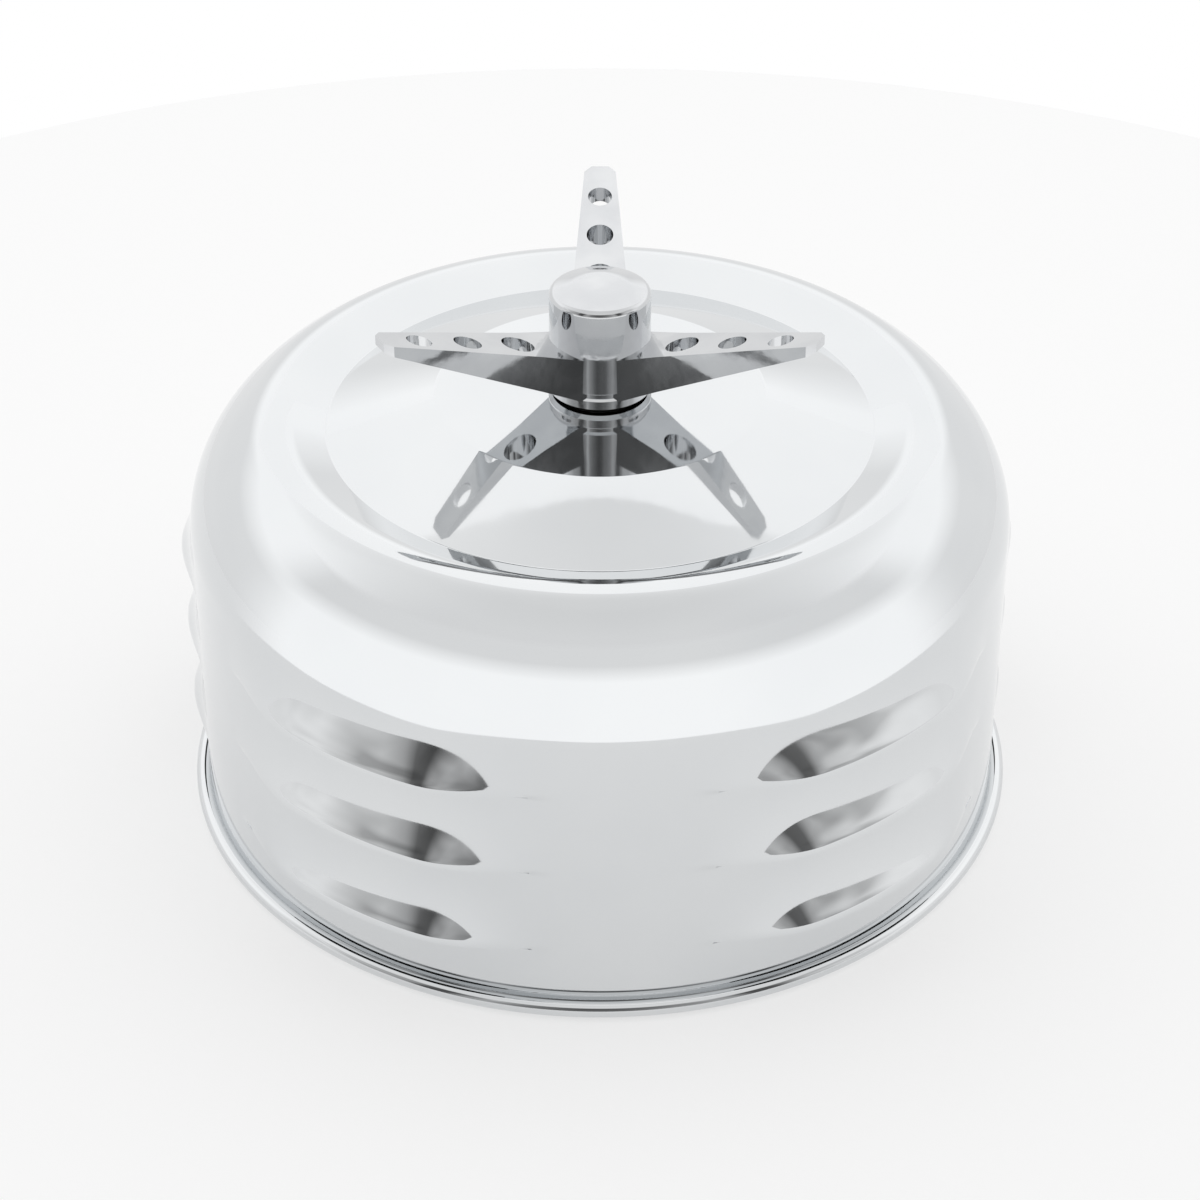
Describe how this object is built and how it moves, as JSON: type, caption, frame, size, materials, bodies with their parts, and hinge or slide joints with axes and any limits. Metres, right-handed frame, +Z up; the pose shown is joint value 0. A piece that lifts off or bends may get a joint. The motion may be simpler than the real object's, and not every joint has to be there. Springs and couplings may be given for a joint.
{
  "type": "louvered carburettor air cleaner",
  "caption": "Small round chromed air cleaner with a louvered drawn cover, dished top, pleated filter, clamp-on neck and a swept-up three-arm spinner nut.",
  "frame": {"origin": "on the axis of the stud, in the plane that the base plate stands on", "axes": "+Z up along the stud, from the neck to the spinner nut; one spinner arm points along +Y; the clamp's ears are on the +X side"},
  "size_m": [0.1653, 0.1659, 0.1109],
  "materials": {
    "chrome_shell": "polished chrome on drawn steel, with a faint orange-peel ripple",
    "chrome_casting": "polished chrome on a die casting",
    "brass": "turned",
    "black_rubber": "moulded",
    "zinc_plate": "zinc-plated sheet",
    "zinc_hardware": "zinc-plated fasteners",
    "filter_paper": "resin-treated pleated paper",
    "filter_moulding": "cast plastisol",
    "wire_cloth": "expanded mesh"
  },
  "bodies": {
    "base": {"base_plate": "chrome_shell", "neck_collar": "zinc_plate", "neck_seal": "black_rubber", "neck_clamp_band": "zinc_plate", "stud_bridge": "zinc_plate", "bridge_rivet_left": "zinc_hardware", "bridge_rivet_right": "zinc_hardware", "center_stud": "zinc_hardware", "stud_lock_washer": "zinc_hardware", "stud_nut_lower": "zinc_hardware", "stud_nut_upper": "zinc_hardware"},
    "clamp_screw": {"clamp_screw": "zinc_hardware"},
    "clamp_nut": {"clamp_nut": "zinc_hardware"},
    "filter": {"filter_pleats": "filter_paper", "filter_top_seal": "filter_moulding", "filter_bottom_seal": "filter_moulding", "filter_outer_screen": "wire_cloth", "filter_inner_screen": "wire_cloth"},
    "cover": {"louvered_cover": "chrome_shell"},
    "washer": {"spinner_washer": "black_rubber"},
    "spinner": {"spinner_nut": "chrome_casting", "threaded_insert": "brass"}
  },
  "joints": [
    {"name": "filter_lift", "type": "slide", "parent": "base", "child": "filter", "axis": [0, 0, 1], "range_m": [0, 0.09]},
    {"name": "cover_lift", "type": "slide", "parent": "filter", "child": "cover", "axis": [0, 0, 1], "range_m": [0, 0.105]},
    {"name": "nut_rise", "type": "slide", "parent": "cover", "child": "washer", "axis": [0, 0, 1], "range_m": [0, 0.01503]},
    {"name": "nut_spin", "type": "hinge", "parent": "washer", "child": "spinner", "pos_m": [0, 0, 0.095], "axis": [0, 0, 1], "range_deg": [0, 4260]},
    {"name": "clamp_screw_turn", "type": "hinge", "parent": "base", "child": "clamp_screw", "pos_m": [0.0425, 0, 0.006], "axis": [0, -1, 0], "range_deg": [0, 1110]},
    {"name": "clamp_nut_travel", "type": "slide", "parent": "base", "child": "clamp_nut", "axis": [0, 1, 0], "range_m": [0, 0.00326]}
  ],
  "couplings": [
    {"joint": "nut_rise", "follows": "nut_spin", "m_per_rad": 0.00020213},
    {"joint": "clamp_screw_turn", "follows": "clamp_nut_travel", "rad_per_m": 5936.8}
  ]
}
